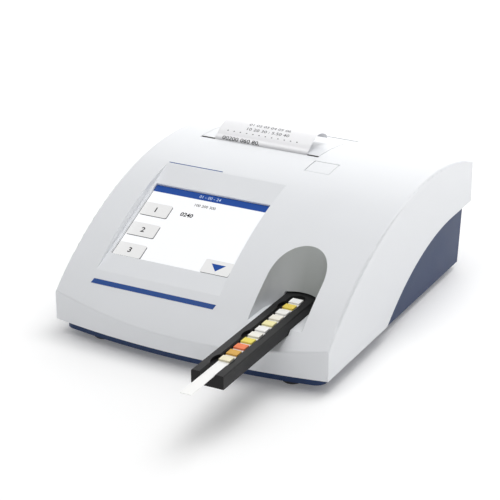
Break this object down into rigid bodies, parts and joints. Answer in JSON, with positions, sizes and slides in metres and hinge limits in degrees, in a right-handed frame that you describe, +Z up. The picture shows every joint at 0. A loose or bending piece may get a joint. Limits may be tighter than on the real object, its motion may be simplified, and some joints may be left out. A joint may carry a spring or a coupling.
{
  "type": "urine analyzer",
  "caption": "Compact bench analyzer for urine test strips: strip tray on a rack, sloped display, lidded receipt printer, release button, battery bay.",
  "frame": {"origin": "middle of the whole footprint, strip included, at the feet's underside", "axes": "+Z up; -Y the way the tray comes out towards the user; +X the user's right"},
  "size_m": [0.16, 0.2722, 0.0821],
  "materials": {
    "cover_white": "satin moulded white",
    "base_blue": "dark blue moulded",
    "foot_rubber": "dull grey rubber",
    "screw_steel": "zinc plated",
    "tray_black": "fine black",
    "strip_white": "white film",
    "pad_colours": "absorbent pads",
    "screen_glass": "clear",
    "lens_glass": "clear",
    "lcd_black": "lit panel",
    "board_green": "solder mask",
    "chip_black": "moulded",
    "frame_grey": "moulded grey",
    "gear_white": "acetal",
    "motor_steel": "plated can",
    "brass_part": "turned",
    "head_metal": "plate",
    "paper": "thermal paper",
    "platen_rubber": "ground rubber",
    "cell_jacket": "plain jacket",
    "contact_plate": "nickel plated",
    "button_grey": "moulded",
    "connector_black": "moulded",
    "connector_shell": "plated"
  },
  "bodies": {
    "casing": {"top_cover": "cover_white", "base_shell": "base_blue", "foot_front_left": "foot_rubber", "foot_front_right": "foot_rubber", "foot_rear_left": "foot_rubber", "foot_rear_right": "foot_rubber", "case_screws": "screw_steel", "display_gasket": "foot_rubber", "display_glass": "screen_glass", "lcd_module": "lcd_black", "display_board": "board_green", "display_screws": "screw_steel", "tray_guide": "frame_grey", "tray_motor": "motor_steel", "optics_housing": "tray_black", "optics_lens": "lens_glass", "sensor_board": "board_green", "printer_frame": "frame_grey", "thermal_head": "head_metal", "lid_hinge_pin": "screw_steel", "feed_motor": "motor_steel", "paper_web": "paper", "button_spring": "screw_steel", "latch_pin": "screw_steel", "battery_cells": "cell_jacket", "battery_contacts": "contact_plate", "main_board": "board_green", "board_chips": "chip_black", "board_screws": "screw_steel", "serial_port": "connector_shell", "usb_port": "connector_shell", "power_jack": "connector_black", "display_ribbon": "strip_white"},
    "tray": {"strip_tray": "tray_black", "test_strip": "strip_white", "reagent_pads": "pad_colours"},
    "pinion": {"tray_pinion": "gear_white"},
    "motor_gear": {"motor_gear": "brass_part"},
    "lid": {"printer_lid": "cover_white", "printed_slip": "paper"},
    "platen": {"platen_shaft": "screw_steel", "platen_roller": "platen_rubber", "platen_gear": "gear_white"},
    "roll": {"paper_roll": "paper", "roll_core": "chip_black"},
    "feed_gear": {"feed_gear": "brass_part"},
    "button": {"release_button": "button_grey"},
    "latch": {"latch_lever": "gear_white"},
    "door": {"battery_door": "base_blue"}
  },
  "joints": [
    {"name": "tray_slide", "type": "slide", "parent": "casing", "child": "tray", "axis": [0, 1, 0], "range_m": [0, 0.102]},
    {"name": "pinion_spin", "type": "hinge", "parent": "casing", "child": "pinion", "pos_m": [0.0473, 0.00655, 0.02254], "axis": [1, 0, 0], "range_deg": [-1045, 0]},
    {"name": "motor_gear_spin", "type": "hinge", "parent": "casing", "child": "motor_gear", "pos_m": [0.0473, 0.01664, 0.02543], "axis": [1, 0, 0], "range_deg": [0, 2612]},
    {"name": "lid_hinge", "type": "hinge", "parent": "casing", "child": "lid", "pos_m": [-0.0246, 0.12455, 0.06392], "axis": [-1, 0, 0], "range_deg": [0, 85]},
    {"name": "roll_spin", "type": "hinge", "parent": "casing", "child": "roll", "pos_m": [-0.0238, 0.10255, 0.05], "axis": [1, 0, 0], "continuous": true},
    {"name": "platen_spin", "type": "hinge", "parent": "lid", "child": "platen", "pos_m": [-0.0238, 0.08015, 0.0665], "axis": [1, 0, 0], "continuous": true},
    {"name": "feed_gear_spin", "type": "hinge", "parent": "casing", "child": "feed_gear", "pos_m": [-0.0557, 0.07564, 0.06051], "axis": [1, 0, 0], "continuous": true},
    {"name": "button_push", "type": "slide", "parent": "casing", "child": "button", "axis": [0, 0, -1], "range_m": [0, 0.002], "stiffness_N_per_m": 300, "springref_m": -0.0008, "deforming": ["button_spring"]},
    {"name": "latch_swing", "type": "hinge", "parent": "casing", "child": "latch", "pos_m": [0.0161, 0.07255, 0.0555], "axis": [1, 0, 0], "range_deg": [0, 10.6]},
    {"name": "battery_door_slide", "type": "slide", "parent": "casing", "child": "door", "axis": [0, 1, 0], "range_m": [0, 0.006]}
  ],
  "couplings": [
    {"joint": "pinion_spin", "follows": "tray_slide", "rad_per_m": -178.57},
    {"joint": "motor_gear_spin", "follows": "tray_slide", "rad_per_m": 446.43},
    {"joint": "platen_spin", "follows": "roll_spin", "ratio": -4},
    {"joint": "feed_gear_spin", "follows": "roll_spin", "ratio": 6},
    {"joint": "latch_swing", "follows": "button_push", "rad_per_m": 91.324}
  ]
}
